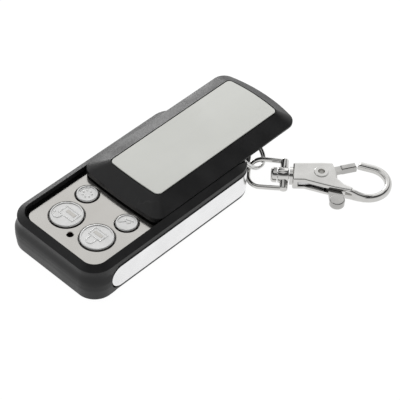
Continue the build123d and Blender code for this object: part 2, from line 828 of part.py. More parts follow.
# Swivel loop: a bent wire closed by a bar whose boss turns on the post
boss_end = boss_start + boss_length
bar_middle = loop_near_end + loop_length - loop_bar_width / 2
with BuildPart() as swivel_loop:
    with BuildLine(loop_plane) as loop_path:
        FilletPolyline(
            (bar_middle, loop_width / 2),
            (loop_near_end, loop_width / 2),
            (loop_near_end, -loop_width / 2),
            (bar_middle, -loop_width / 2),
            radius=loop_corner_radius,
        )
    with BuildSketch(Plane(origin=loop_path.line @ 0, z_dir=loop_path.line % 0)):
        Circle(loop_wire_radius)
    sweep(path=loop_path.line)
    with BuildSketch(loop_plane.offset(-loop_wire_radius)):
        with Locations((bar_middle, 0)):
            RectangleRounded(loop_bar_width, loop_width + 2 * loop_wire_radius, loop_wire_radius)
    extrude(amount=2 * loop_wire_radius)
    with BuildSketch(clasp_end_plane.offset(boss_start)):
        Circle(loop_boss_radius)
    extrude(amount=boss_length)
    with BuildSketch(clasp_end_plane.offset(boss_start)):
        Circle(post_radius + swivel_bore_gap)
    extrude(amount=boss_length, mode=Mode.SUBTRACT)
swivel_loop.part.label = "swivel_loop"

# Swivel post: a rivet head inside the loop, its shank held in the hook's neck
collar_start = boss_end + swivel_gap
neck_start = collar_start + collar_length
head_end = boss_start - swivel_gap
with BuildPart() as swivel_post:
    with BuildSketch(clasp_end_plane.offset(head_end - rivet_thickness)):
        Circle(rivet_radius)
    extrude(amount=rivet_thickness)
    head_rims = swivel_post.edges().filter_by(GeomType.CIRCLE).sort_by(Axis(clasp_origin, clasp_along))
    fillet(head_rims[0], rivet_thickness / 2)
    with BuildSketch(clasp_end_plane.offset(head_end)):
        Circle(post_radius)
    extrude(amount=neck_start + post_grip - head_end)
swivel_post.part.label = "swivel_post"

# Hook: collar, two cheeks with a channel for the lever, and the bent hook. Its flat
# outlines start at the neck and run along the clasp, then across it.
neck_plane = Plane(origin=clasp_origin + clasp_along * neck_start, x_dir=clasp_along, z_dir=(0, 0, 1))
cheek_outline = (
    (0, -3.4),
    (3.4, -3.15),
    (8.3, -4.5),
    (11.9, -5.4),
    (17.1, -6.3),
    (17.1, -4.9),
    (14.5, -3.6),
    (12.7, -1.6),
    (12.5, 0.9),
    (11.2, 4.5),
    (8.1, 4.4),
    (4.7, 4.0),
    (0, 3.6),
)
with BuildPart() as hook_bow:
    with BuildSketch(neck_plane.offset(-hook_half_thickness)):
        with BuildLine():
            shank = PolarLine(hook_start, hook_shank_length, hook_shank_angle)
            bend = JernArc(shank @ 1, shank % 1, hook_bend_radius, hook_bend_angle)
            Line(bend @ 1, bend @ 1 + (bend % 1) * hook_tip_length)
        trace(line_width=hook_width)
    extrude(amount=2 * hook_half_thickness)
    fillet(hook_bow.edges().group_by(Axis.Z)[-1] + hook_bow.edges().group_by(Axis.Z)[0], hook_edge_radius)
    with BuildSketch(neck_plane.offset(-cheek_half_thickness)):
        with Locations((channel_end, 0)):
            Rectangle(far_y, 2 * far_y, align=(Align.MIN, Align.CENTER))
    extrude(amount=2 * cheek_half_thickness, mode=Mode.INTERSECT)

with BuildPart() as hook_body:
    with BuildSketch(neck_plane.offset(-cheek_half_thickness)) as cheek_face:
        with BuildLine():
            Polyline(*cheek_outline, close=True)
        make_face()
        fillet(cheek_face.vertices(), cheek_corner_radius)
    extrude(amount=2 * cheek_half_thickness)
    fillet(hook_body.edges().group_by(Axis.Z)[-1] + hook_body.edges().group_by(Axis.Z)[0], cheek_edge_radius)
    # Channel through the middle of the thickness, open below, at the mouth and over the gate
    with BuildSketch(neck_plane.offset(-channel_half_height)):
        with BuildLine():
            Polyline(
                (channel_start, -far_y),
                (channel_start, channel_far - channel_corner),
                (channel_start + channel_corner, channel_far),
                (channel_over, channel_far),
                (channel_end, channel_far + channel_end - channel_over),
                (channel_end, -far_y),
                close=True,
            )
        make_face()
    extrude(amount=2 * channel_half_height, mode=Mode.SUBTRACT)
    # Pocket that anchors the lever's spring
    with BuildSketch(neck_plane.offset(-channel_half_height)):
        with Locations((channel_start, spring_pocket_far)):
            Rectangle(spring_pocket_depth, far_y, align=(Align.MAX, Align.MAX))
    extrude(amount=2 * channel_half_height, mode=Mode.SUBTRACT)
    add(hook_bow.part)
    with BuildSketch(clasp_end_plane.offset(collar_start)):
        Circle(collar_radius)
    extrude(amount=collar_length)
    with BuildSketch(clasp_end_plane.offset(collar_start)):
        Circle(post_radius)
    extrude(amount=collar_length + post_grip, mode=Mode.SUBTRACT)
    with BuildSketch(neck_plane.offset(-cheek_half_thickness)):
        with Locations(pivot_place):
            Circle(eyelet_shank_radius + eyelet_gap)
    extrude(amount=2 * cheek_half_thickness, mode=Mode.SUBTRACT)
hook_body.part.label = "hook_body"

# Eyelet: a hollow rivet through both cheeks, the lever's axle
with BuildPart() as pivot_eyelet:
    with BuildSketch(neck_plane.offset(-cheek_half_thickness - eyelet_flange / 2)):
        with Locations(pivot_place):
            Circle(eyelet_shank_radius)
    extrude(amount=2 * cheek_half_thickness + eyelet_flange)
    for flange_z in (-cheek_half_thickness - eyelet_flange, cheek_half_thickness):
        with BuildSketch(neck_plane.offset(flange_z)):
            with Locations(pivot_place):
                Circle(eyelet_radius)
        extrude(amount=eyelet_flange)
    rims = pivot_eyelet.edges().filter_by(GeomType.CIRCLE).group_by(Axis.Z)
    fillet([rims[0].sort_by(SortBy.RADIUS)[-1], rims[-1].sort_by(SortBy.RADIUS)[-1]], eyelet_edge_radius)
    with BuildSketch(neck_plane.offset(-cheek_half_thickness - eyelet_flange)):
        with Locations(pivot_place):
            Circle(eyelet_bore_radius)
    extrude(amount=2 * (cheek_half_thickness + eyelet_flange), mode=Mode.SUBTRACT)
pivot_eyelet.part.label = "pivot_eyelet"

# Gate lever: hub on the eyelet, gate across the hook's mouth, and a trigger with a round
# thumb grip that stands out of the channel below
trigger_outline = (
    (8.5, -1.4),
    (10.1, -4.9),
    (10.7, -8.7),
    (14.9, -8.7),
    (14.1, -5.6),
    (12.6, -1.4),
    (10.1, 1.2),
)
with BuildPart() as gate_pads:
    with BuildSketch(neck_plane.offset(-gate_half_thickness)):
        with BuildLine():
            gate_run = Line(gate_knee, gate_end, mode=Mode.PRIVATE)
            Line(gate_run @ gate_thick_start, gate_run @ 1)
        trace(line_width=lever_arm_width)
        with Locations(grip_place):
            Circle(grip_radius)
    extrude(amount=2 * gate_half_thickness)
    fillet(gate_pads.edges().group_by(Axis.Z)[-1] + gate_pads.edges().group_by(Axis.Z)[0], gate_edge_radius)

with BuildPart() as gate_lever:
    with BuildSketch(neck_plane.offset(-lever_half_thickness)):
        with Locations(pivot_place):
            Circle(lever_hub_radius)
        with BuildLine():
            Polyline(pivot_place, gate_knee, gate_end)
        trace(line_width=lever_arm_width)
        with BuildLine():
            Polyline(*trigger_outline, close=True)
        make_face()
    extrude(amount=2 * lever_half_thickness)
    add(gate_pads.part)
    with BuildSketch(neck_plane.offset(-gate_half_thickness)):
        with Locations(pivot_place):
            Circle(eyelet_shank_radius + lever_bore_gap)
    extrude(amount=2 * gate_half_thickness, mode=Mode.SUBTRACT)
gate_lever.part.label = "gate_lever"

# Lever spring: a bent leaf between the neck's pocket and the trigger's root
with BuildPart() as lever_spring:
    with BuildSketch(neck_plane.offset(-spring_half_height)):
        with BuildLine():
            Polyline(*spring_route)
        trace(line_width=spring_thickness)
    extrude(amount=2 * spring_half_height)
lever_spring.part.label = "lever_spring"

pieces = [
    bottom_shell.part,
    top_shell.part,
    keypad_plate.part,
    side_strip_left.part,
    side_strip_right.part,
    circuit_board.part,
    tact_switches.part,
    status_led.part,
    battery.part,
    battery_contacts.part,
    chips.part,
    crystal.part,
    antenna_coil.part,
    case_screws.part,
    cover_shell.part,
    cover_plate.part,
    split_ring.part,
    swivel_loop.part,
    swivel_post.part,
    hook_body.part,
    pivot_eyelet.part,
    gate_lever.part,
    lever_spring.part,
]
for piece in pieces + button_parts:
    export_step(piece, "parts/" + piece.label + ".step")
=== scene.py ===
import bpy
import math
from mathutils import Matrix, Vector


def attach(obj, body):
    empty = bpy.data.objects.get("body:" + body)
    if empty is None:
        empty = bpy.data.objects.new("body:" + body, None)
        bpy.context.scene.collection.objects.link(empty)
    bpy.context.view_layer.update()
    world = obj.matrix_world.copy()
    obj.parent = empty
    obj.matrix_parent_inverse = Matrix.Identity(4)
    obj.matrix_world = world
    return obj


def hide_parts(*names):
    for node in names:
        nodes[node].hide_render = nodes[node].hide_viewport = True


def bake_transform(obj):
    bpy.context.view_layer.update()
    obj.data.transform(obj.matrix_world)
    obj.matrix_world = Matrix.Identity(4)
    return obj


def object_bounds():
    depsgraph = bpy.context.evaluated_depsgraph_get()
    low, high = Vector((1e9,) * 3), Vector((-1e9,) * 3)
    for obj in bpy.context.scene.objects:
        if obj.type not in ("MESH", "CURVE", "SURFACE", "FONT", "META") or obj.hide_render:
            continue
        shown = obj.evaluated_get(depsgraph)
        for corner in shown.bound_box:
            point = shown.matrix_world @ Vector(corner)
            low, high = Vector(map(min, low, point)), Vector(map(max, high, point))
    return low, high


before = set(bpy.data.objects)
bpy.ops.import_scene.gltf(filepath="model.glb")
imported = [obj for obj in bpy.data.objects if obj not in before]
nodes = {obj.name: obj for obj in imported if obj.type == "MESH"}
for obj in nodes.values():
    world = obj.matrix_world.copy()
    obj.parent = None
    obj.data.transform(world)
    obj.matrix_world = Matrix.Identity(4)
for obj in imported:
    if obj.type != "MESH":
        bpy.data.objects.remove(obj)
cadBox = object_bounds()
print("frame loaded with", len(nodes), "nodes")

mm = 0.001
nodeSpacing = 200  # between shader nodes in their editor
seedSize = 0.0005  # of the plane that merges into a chain's first point
mergeDistance = 0.000001


# View, floor and light

cameraSettings = {
    "place": (-229.81, -235.6, 342.4),
    "target": (17.05, -9.15, 0.0),
    "rollDegrees": 1.98,
    "lens": 152.36,
    "sensorWidth": 36.0,
    "nearest": 0.01,
}
lampSettings = {
    "farSoftbox": {"azimuth": 50, "elevation": 42, "distance": 0.8, "size": 0.75, "power": 1.6},
    "leftSoftbox": {"azimuth": 116, "elevation": 54, "distance": 0.8, "size": 0.42, "power": 0.42},
    "lowSoftbox": {"azimuth": 60, "elevation": 8, "distance": 0.9, "size": 0.24, "power": 1.0},
    "topSoftbox": {"azimuth": 0, "elevation": 89.9, "distance": 0.8, "size": 0.42, "power": 0.38},
}
worldSettings = {
    "horizon": (1.0, 1.0, 1.0, 1.0),
    "overhead": (0.07, 0.07, 0.07, 1.0),
    "backdrop": (1.0, 1.0, 1.0, 1.0),
    "horizonTop": 0.35,
    "overheadStart": 0.80,
}
floorSettings = {
    "size": 6.0,
    "height": -0.0001,
    "paper": (0.8, 0.8, 0.8, 1.0),
    "glow": (1.0, 1.0, 1.0, 1.0),
    "glowStrength": 1.12,
    "glowShare": 0.86,  # of what the camera and the mirrors see of the floor
}


def placeCamera(settings):
    place = Vector(settings["place"]) * mm
    sight = Vector(settings["target"]) * mm - place
    turned = sight.to_track_quat("-Z", "Y").to_matrix().to_4x4()
    roll = Matrix.Rotation(math.radians(settings["rollDegrees"]), 4, "Z")
    data = bpy.data.cameras.new("photoCamera")
    data.lens = settings["lens"]
    data.sensor_width = settings["sensorWidth"]
    data.clip_start = settings["nearest"]
    camera = bpy.data.objects.new("photoCamera", data)
    camera.matrix_world = Matrix.Translation(place) @ turned @ roll
    bpy.context.scene.collection.objects.link(camera)
    bpy.context.scene.camera = camera


def addLamp(name, settings, centre):
    azimuth = math.radians(settings["azimuth"])
    elevation = math.radians(settings["elevation"])
    away = Vector((
        math.cos(azimuth) * math.cos(elevation),
        math.sin(azimuth) * math.cos(elevation),
        math.sin(elevation),
    ))
    data = bpy.data.lights.new(name, "AREA")
    data.shape = "SQUARE"
    data.size = settings["size"]
    data.energy = settings["power"]
    lamp = bpy.data.objects.new(name, data)
    lamp.location = centre + away * settings["distance"]
    lamp.rotation_euler = (-away).to_track_quat("-Z", "Y").to_euler()
    bpy.context.scene.collection.objects.link(lamp)


def makeNode(tree, kind, place=(0, 0), inputs=None, **values):
    node = tree.nodes.new(kind)
    node.location = (place[0] * nodeSpacing, -place[1] * nodeSpacing)
    for key, value in values.items():
        setattr(node, key, value)
    for key, value in (inputs or {}).items():
        node.inputs[key].default_value = value
    return node


def wire(tree, *links):
    for source, output, target, key in links:
        tree.links.new(source.outputs[output], target.inputs[key])


def setWorld(settings):
    # Bright round the horizon and dark overhead; the camera itself sees plain white
    world = bpy.data.worlds.new("studio")
    world.use_nodes = True
    bpy.context.scene.world = world
    tree = world.node_tree
    tree.nodes.clear()
    coordinates = makeNode(tree, "ShaderNodeTexCoord")
    separate = makeNode(tree, "ShaderNodeSeparateXYZ", (1, 0))
    height = makeNode(tree, "ShaderNodeMapRange", (2, 0), {
        "From Min": settings["horizonTop"],
        "From Max": settings["overheadStart"],
    }, interpolation_type="SMOOTHSTEP")
    sky = makeNode(tree, "ShaderNodeMix", (3, 0), {
        "A": settings["horizon"],
        "B": settings["overhead"],
    }, data_type="RGBA")
    lightPath = makeNode(tree, "ShaderNodeLightPath", (3, 2))
    studio = makeNode(tree, "ShaderNodeBackground", (4, 0))
    backdrop = makeNode(tree, "ShaderNodeBackground", (4, 1), {"Color": settings["backdrop"]})
    choose = makeNode(tree, "ShaderNodeMixShader", (5, 0))
    output = makeNode(tree, "ShaderNodeOutputWorld", (6, 0))
    wire(
        tree,
        (coordinates, "Generated", separate, "Vector"),
        (separate, "Z", height, "Value"),
        (height, "Result", sky, "Factor"),
        (sky, "Result", studio, "Color"),
        (lightPath, "Is Camera Ray", choose, "Fac"),
        (studio, "Background", choose, 1),
        (backdrop, "Background", choose, 2),
        (choose, "Shader", output, "Surface"),
    )


def makeFloor(settings):
    bpy.ops.mesh.primitive_plane_add(size=settings["size"], location=(0, 0, settings["height"]))
    floor = bpy.context.object
    floor.name = "floor"
    material = bpy.data.materials.new("paleFloor")
    material.use_nodes = True
    tree = material.node_tree
    tree.nodes.clear()
    lightPath = makeNode(tree, "ShaderNodeLightPath")
    mirrored = makeNode(tree, "ShaderNodeMath", (1, 0), operation="MAXIMUM")
    seen = makeNode(tree, "ShaderNodeMath", (2, 0), operation="MAXIMUM")
    share = makeNode(tree, "ShaderNodeMath", (3, 0), {1: settings["glowShare"]}, operation="MULTIPLY")
    paper = makeNode(tree, "ShaderNodeBsdfDiffuse", (3, 1), {"Color": settings["paper"]})
    glow = makeNode(tree, "ShaderNodeEmission", (3, 2), {
        "Color": settings["glow"],
        "Strength": settings["glowStrength"],
    })
    whitened = makeNode(tree, "ShaderNodeMixShader", (4, 0))
    output = makeNode(tree, "ShaderNodeOutputMaterial", (5, 0))
    wire(
        tree,
        (lightPath, "Is Camera Ray", mirrored, 0),
        (lightPath, "Is Glossy Ray", mirrored, 1),
        (mirrored, "Value", seen, 0),
        (lightPath, "Is Transmission Ray", seen, 1),
        (seen, "Value", share, 0),
        (share, "Value", whitened, "Fac"),
        (paper, "BSDF", whitened, 1),
        (glow, "Emission", whitened, 2),
        (whitened, "Shader", output, "Surface"),
    )
    floor.data.materials.append(material)


view = bpy.context.scene.view_settings
view.view_transform = "Standard"
bpy.ops.object.select_all(action="DESELECT")
placeCamera(cameraSettings)
setWorld(worldSettings)
for lampName, lampValues in lampSettings.items():
    addLamp(lampName, lampValues, (cadBox[0] + cadBox[1]) / 2)
makeFloor(floorSettings)
print("camera, floor and lamps placed")


# Effects that several finishes share

brushSettings = {"wideShare": 0.12, "detail": 3.0}
grainSettings = {"detail": 2.0, "cloudDetail": 3.0}
scratchSettings = {
    "warp": (0.004, 0.004, 0.004),
    "warpScale": 300.0,
    "width": 0.012,
    "patchScale": 140.0,
    "patchStart": 0.55,
    "patchFull": 0.7,
}


def makeGroup(name, numbers, outputs):
    group = bpy.data.node_groups.new(name, "ShaderNodeTree")
    group.interface.new_socket("Vector", in_out="INPUT", socket_type="NodeSocketVector")
    for key, value in numbers.items():
        socket = group.interface.new_socket(key, in_out="INPUT", socket_type="NodeSocketFloat")
        socket.default_value = value
    for key in outputs:
        group.interface.new_socket(key, in_out="OUTPUT", socket_type="NodeSocketFloat")
    return group, makeNode(group, "NodeGroupInput", (-1, 0)), makeNode(group, "NodeGroupOutput", (8, 0))


def makeGrainGroup(settings):
    # Fine spark-eroded grain of moulded plastic, with a slower cloudiness under it
    numbers = {"Scale": 9000.0, "Cloud Scale": 90.0}
    group, given, result = makeGroup("mouldGrain", numbers, ("Height", "Cloud"))
    fine = makeNode(group, "ShaderNodeTexNoise", (1, 0), {"Detail": settings["detail"]})
    cloud = makeNode(group, "ShaderNodeTexNoise", (1, 2), {"Detail": settings["cloudDetail"]})
    wire(
        group,
        (given, "Vector", fine, "Vector"),
        (given, "Scale", fine, "Scale"),
        (given, "Vector", cloud, "Vector"),
        (given, "Cloud Scale", cloud, "Scale"),
        (fine, "Fac", result, "Height"),
        (cloud, "Fac", result, "Cloud"),
    )
    return group


def makeBrushGroup(settings):
    # Long fine lines along X, as brushed or rolled sheet has
    numbers = {"Scale": 6000.0, "Stretch": 0.02}
    group, given, result = makeGroup("brushedLines", numbers, ("Height", "Streak"))
    stretch = makeNode(group, "ShaderNodeCombineXYZ", (0, 1), {"Y": 1.0, "Z": 1.0})
    shaped = makeNode(group, "ShaderNodeVectorMath", (1, 0), operation="MULTIPLY")
    wideScale = makeNode(group, "ShaderNodeMath", (1, 2), {1: settings["wideShare"]}, operation="MULTIPLY")
    lines = makeNode(group, "ShaderNodeTexNoise", (2, 0), {"Detail": settings["detail"]})
    wide = makeNode(group, "ShaderNodeTexNoise", (2, 2))
    wire(
        group,
        (given, "Stretch", stretch, "X"),
        (given, "Vector", shaped, 0),
        (stretch, "Vector", shaped, 1),
        (shaped, "Vector", lines, "Vector"),
        (given, "Scale", lines, "Scale"),
        (shaped, "Vector", wide, "Vector"),
        (given, "Scale", wideScale, 0),
        (wideScale, "Value", wide, "Scale"),
        (lines, "Fac", result, "Height"),
        (wide, "Fac", result, "Streak"),
    )
    return group


def makeScratchGroup(settings):
    # Sparse hairline scratches and rub marks
    group, given, result = makeGroup("hairlines", {"Scale": 120.0, "Amount": 0.5}, ("Mask",))
    warp = makeNode(group, "ShaderNodeTexNoise", (0, 1), {"Scale": settings["warpScale"]})
    bent = makeNode(group, "ShaderNodeVectorMath", (1, 1), {1: settings["warp"]}, operation="MULTIPLY_ADD")
    cells = makeNode(group, "ShaderNodeTexVoronoi", (2, 0), feature="DISTANCE_TO_EDGE")
    thin = makeNode(group, "ShaderNodeMapRange", (3, 0), {
        "From Min": 0.0,
        "From Max": settings["width"],
        "To Min": 1.0,
        "To Max": 0.0,
    })
    patches = makeNode(group, "ShaderNodeTexNoise", (2, 2), {"Scale": settings["patchScale"]})
    sparse = makeNode(group, "ShaderNodeMapRange", (3, 2), {
        "From Min": settings["patchStart"],
        "From Max": settings["patchFull"],
    })
    both = makeNode(group, "ShaderNodeMath", (5, 0), operation="MULTIPLY")
    scaled = makeNode(group, "ShaderNodeMath", (6, 0), operation="MULTIPLY")
    wire(
        group,
        (given, "Vector", warp, "Vector"),
        (warp, "Color", bent, 0),
        (given, "Vector", bent, 2),
        (bent, "Vector", cells, "Vector"),
        (given, "Scale", cells, "Scale"),
        (cells, "Distance", thin, "Value"),
        (given, "Vector", patches, "Vector"),
        (patches, "Fac", sparse, "Value"),
        (thin, "Result", both, 0),
        (sparse, "Result", both, 1),
        (both, "Value", scaled, 0),
        (given, "Amount", scaled, 1),
        (scaled, "Value", result, "Mask"),
    )
    return group


grainGroup = makeGrainGroup(grainSettings)
brushGroup = makeBrushGroup(brushSettings)
scratchGroup = makeScratchGroup(scratchSettings)


# Finishes: moulded plastics have a grain, sheets have lines, platings have neither

finishSettings = {
    "casingPlastic": {
        "dark": (0.010, 0.010, 0.0105), "light": (0.015, 0.015, 0.0155), "scuff": (0.05, 0.05, 0.05),
        "metallic": 0.0, "specular": 0.32, "roughness": (0.34, 0.46), "depth": 0.00004, "bump": 0.8,
        "grain": 4400.0, "cloud": 140.0, "scratchScale": 90.0, "scratches": 0.3,
    },
    "coverPlastic": {
        "dark": (0.012, 0.012, 0.0125), "light": (0.018, 0.018, 0.0185), "scuff": (0.06, 0.06, 0.06),
        "metallic": 0.0, "specular": 0.3, "roughness": (0.32, 0.44), "depth": 0.00004, "bump": 0.8,
        "grain": 4400.0, "cloud": 110.0, "scratchScale": 80.0, "scratches": 0.3,
    },
    "switchPlastic": {
        "dark": (0.015, 0.015, 0.015), "light": (0.03, 0.03, 0.03), "scuff": (0.05, 0.05, 0.05),
        "metallic": 0.0, "specular": 0.4, "roughness": (0.4, 0.5), "depth": 0.00003, "bump": 0.3,
        "grain": 4000.0, "cloud": 200.0, "scratchScale": 90.0, "scratches": 0.1,
    },
    "boardMask": {
        "dark": (0.01, 0.08, 0.03), "light": (0.02, 0.12, 0.05), "scuff": (0.1, 0.2, 0.1),
        "metallic": 0.0, "specular": 0.5, "roughness": (0.3, 0.4), "depth": 0.00003, "bump": 0.3,
        "grain": 3000.0, "cloud": 200.0, "scratchScale": 90.0, "scratches": 0.1,
    },
    "lampLens": {
        "dark": (0.05, 0.006, 0.005), "light": (0.08, 0.01, 0.008), "scuff": (0.1, 0.05, 0.05),
        "metallic": 0.0, "specular": 0.5, "roughness": (0.15, 0.2), "depth": 0.00001, "bump": 0.1,
        "grain": 3000.0, "cloud": 200.0, "scratchScale": 90.0, "scratches": 0.0,
    },
    "batteryJacket": {
        "dark": (0.2, 0.2, 0.22), "light": (0.3, 0.3, 0.33), "scuff": (0.4, 0.4, 0.4),
        "metallic": 0.0, "specular": 0.5, "roughness": (0.2, 0.3), "depth": 0.00001, "bump": 0.1,
        "grain": 3000.0, "cloud": 200.0, "scratchScale": 90.0, "scratches": 0.2,
    },
    "keypadSheet": {
        "dark": (0.50, 0.485, 0.46), "light": (0.55, 0.54, 0.52), "scuff": (0.75, 0.75, 0.74),
        "metallic": 1.0, "specular": 0.5, "roughness": (0.13, 0.19), "depth": 0.000006, "bump": 0.06,
        "lines": 7000.0, "stretch": 0.03, "cloud": 60.0, "scratchScale": 100.0, "scratches": 0.3,
    },
    "coverSheet": {
        "dark": (0.51, 0.515, 0.49), "light": (0.545, 0.55, 0.525), "scuff": (0.45, 0.45, 0.43),
        "metallic": 1.0, "specular": 0.5, "roughness": (0.29, 0.35), "depth": 0.00001, "bump": 0.04,
        "lines": 7000.0, "stretch": 0.03, "cloud": 50.0, "scratchScale": 60.0, "scratches": 0.35,
    },
    "trimStrip": {
        "dark": (0.78, 0.78, 0.785), "light": (0.86, 0.86, 0.865), "scuff": (0.6, 0.6, 0.6),
        "metallic": 1.0, "specular": 0.5, "roughness": (0.2, 0.26), "depth": 0.000001, "bump": 0.01,
        "lines": 6000.0, "stretch": 0.05, "cloud": 120.0, "scratchScale": 90.0, "scratches": 0.15,
    },
    "buttonSilver": {
        "dark": (0.58, 0.58, 0.575), "light": (0.66, 0.66, 0.655), "scuff": (0.8, 0.8, 0.8),
        "metallic": 1.0, "specular": 0.5, "roughness": (0.28, 0.38), "depth": 0.00002, "bump": 0.06,
        "lines": 3000.0, "stretch": 1.0, "cloud": 200.0, "scratchScale": 150.0, "scratches": 0.2,
    },
    # The pictogram lines are the same silver as the buttons; this lighter, less metallic copy of it is a
    # painted highlight on the raised lines and dots
    "pictogramPaintedHighlight": {
        "dark": (0.86, 0.86, 0.85), "light": (0.92, 0.92, 0.91), "scuff": (0.6, 0.6, 0.6),
        "metallic": 0.35, "specular": 0.5, "roughness": (0.3, 0.4), "depth": 0.00001, "bump": 0.04,
        "lines": 3000.0, "stretch": 1.0, "cloud": 200.0, "scratchScale": 150.0, "scratches": 0.2,
    },
    "claspPlating": {
        "dark": (0.54, 0.535, 0.52), "light": (0.62, 0.615, 0.60), "scuff": (0.5, 0.49, 0.47),
        "metallic": 1.0, "specular": 0.5, "roughness": (0.05, 0.10), "depth": 0.00008, "bump": 0.12,
        "cloud": 260.0, "scratchScale": 220.0, "scratches": 0.5,
    },
    "leverPlating": {
        "dark": (0.40, 0.395, 0.385), "light": (0.48, 0.475, 0.46), "scuff": (0.6, 0.59, 0.57),
        "metallic": 1.0, "specular": 0.5, "roughness": (0.08, 0.14), "depth": 0.00008, "bump": 0.12,
        "cloud": 260.0, "scratchScale": 220.0, "scratches": 0.5,
    },
    "ringSteel": {
        "dark": (0.55, 0.55, 0.54), "light": (0.68, 0.68, 0.67), "scuff": (0.4, 0.4, 0.4),
        "metallic": 1.0, "specular": 0.5, "roughness": (0.05, 0.10), "depth": 0.00006, "bump": 0.08,
        "cloud": 300.0, "scratchScale": 260.0, "scratches": 0.5,
    },
    "screwZinc": {
        "dark": (0.35, 0.35, 0.36), "light": (0.5, 0.5, 0.5), "scuff": (0.3, 0.3, 0.3),
        "metallic": 1.0, "specular": 0.5, "roughness": (0.25, 0.4), "depth": 0.0001, "bump": 0.1,
        "cloud": 300.0, "scratchScale": 260.0, "scratches": 0.5,
    },
    "springSteel": {
        "dark": (0.45, 0.45, 0.45), "light": (0.6, 0.6, 0.6), "scuff": (0.35, 0.35, 0.35),
        "metallic": 1.0, "specular": 0.5, "roughness": (0.2, 0.3), "depth": 0.0001, "bump": 0.1,
        "cloud": 300.0, "scratchScale": 260.0, "scratches": 0.3,
    },
    "copperWire": {
        "dark": (0.45, 0.18, 0.06), "light": (0.6, 0.28, 0.1), "scuff": (0.3, 0.12, 0.05),
        "metallic": 1.0, "specular": 0.5, "roughness": (0.2, 0.3), "depth": 0.0001, "bump": 0.1,
        "cloud": 300.0, "scratchScale": 260.0, "scratches": 0.2,
    },
}
noiseMiddle = (0.3, 0.7)  # between these a noise does most of its work
nodeFinishes = {
    "casingPlastic": ("bottom_shell", "top_shell"),
    "coverPlastic": ("cover_shell",),
    "keypadSheet": ("keypad_plate",),
    "coverSheet": ("cover_plate",),
    "trimStrip": ("side_strip_left", "side_strip_right"),
    "buttonSilver": ("button_lock_open", "button_lock_closed", "button_dial", "button_bolt"),
    "switchPlastic": (
        "plunger_lock_open", "plunger_lock_closed", "plunger_dial", "plunger_bolt", "tact_switches", "chips",
    ),
    "boardMask": ("circuit_board",),
    "lampLens": ("status_led",),
    "batteryJacket": ("battery",),
    "springSteel": ("crystal", "battery_contacts", "lever_spring"),
    "copperWire": ("antenna_coil",),
    "screwZinc": ("case_screws",),
    "ringSteel": ("split_ring",),
    "claspPlating": ("swivel_loop", "swivel_post", "hook_body", "pivot_eyelet"),
    "leverPlating": ("gate_lever",),
}


def rangeNode(tree, place, value, low, high):
    ranged = makeNode(tree, "ShaderNodeMapRange", place, {
        "From Min": noiseMiddle[0],
        "From Max": noiseMiddle[1],
        "To Min": low,
        "To Max": high,
    })
    tree.links.new(value, ranged.inputs["Value"])
    return ranged.outputs["Result"]


def mixColours(tree, place, factor, first, second):
    mixed = makeNode(tree, "ShaderNodeMix", place, data_type="RGBA")
    for key, value in (("A", first), ("B", second)):
        if isinstance(value, tuple):
            mixed.inputs[key].default_value = (*value, 1.0)
        else:
            tree.links.new(value, mixed.inputs[key])
    tree.links.new(factor, mixed.inputs["Factor"])
    return mixed.outputs["Result"]


def addEffect(tree, group, place, coordinates, numbers):
    effect = makeNode(tree, "ShaderNodeGroup", place, node_tree=group)
    for key, value in numbers.items():
        effect.inputs[key].default_value = value
    wire(tree, (coordinates, "Object", effect, "Vector"))
    return effect.outputs


def makeFinish(name, settings):
    material = bpy.data.materials.new(name)
    material.use_nodes = True
    tree = material.node_tree
    shader = tree.nodes["Principled BSDF"]
    shader.inputs["Metallic"].default_value = settings["metallic"]
    shader.inputs["Specular IOR Level"].default_value = settings["specular"]
    place = makeNode(tree, "ShaderNodeTexCoord", (-8, 0))
    grain = addEffect(tree, grainGroup, (-6, 0), place, {
        "Scale": settings.get("grain", 0.0),
        "Cloud Scale": settings["cloud"],
    })
    scratch = addEffect(tree, scratchGroup, (-6, 2), place, {
        "Scale": settings["scratchScale"],
        "Amount": settings["scratches"],
    })
    wear = grain["Cloud"]
    relief = grain["Height"] if "grain" in settings else grain["Cloud"]
    if "lines" in settings:
        brushed = addEffect(tree, brushGroup, (-6, 4), place, {
            "Scale": settings["lines"],
            "Stretch": settings["stretch"],
        })
        wear = brushed["Streak"]
        relief = brushed["Height"]
    cloudy = rangeNode(tree, (-4, 0), grain["Cloud"], 0.0, 1.0)
    base = mixColours(tree, (-3, 0), cloudy, settings["dark"], settings["light"])
    scuffed = mixColours(tree, (-2, 0), scratch["Mask"], base, settings["scuff"])
    bump = makeNode(tree, "ShaderNodeBump", (-3, 3), {
        "Strength": settings["bump"],
        "Distance": settings["depth"],
    })
    tree.links.new(scuffed, shader.inputs["Base Color"])
    tree.links.new(rangeNode(tree, (-4, 2), wear, *settings["roughness"]), shader.inputs["Roughness"])
    tree.links.new(relief, bump.inputs["Height"])
    tree.links.new(bump.outputs["Normal"], shader.inputs["Normal"])
    return material


finishes = {name: makeFinish(name, settings) for name, settings in finishSettings.items()}
for finishName, nodeNames in nodeFinishes.items():
    for nodeName in nodeNames:
        for materialSlot in nodes[nodeName].material_slots:
            materialSlot.material = finishes[finishName]
print("finishes set on", sum(len(nodeNames) for nodeNames in nodeFinishes.values()), "nodes")


# Moves that the pieces below share

def startPiece():
    bpy.ops.object.select_all(action="DESELECT")


def pickPiece(piece):
    startPiece()
    piece.select_set(True)
    bpy.context.view_layer.objects.active = piece


def editAll():
    bpy.ops.object.mode_set(mode="EDIT")
    bpy.ops.mesh.select_all(action="SELECT")


def leaveEdit():
    bpy.ops.object.mode_set(mode="OBJECT")


def pushOut(shift):
    bpy.ops.mesh.extrude_region_move(TRANSFORM_OT_translate={"value": shift})


def turnMesh(angle, axis, centre=(0, 0, 0)):
    bpy.ops.transform.rotate(value=-angle, orient_axis=axis, center_override=centre)


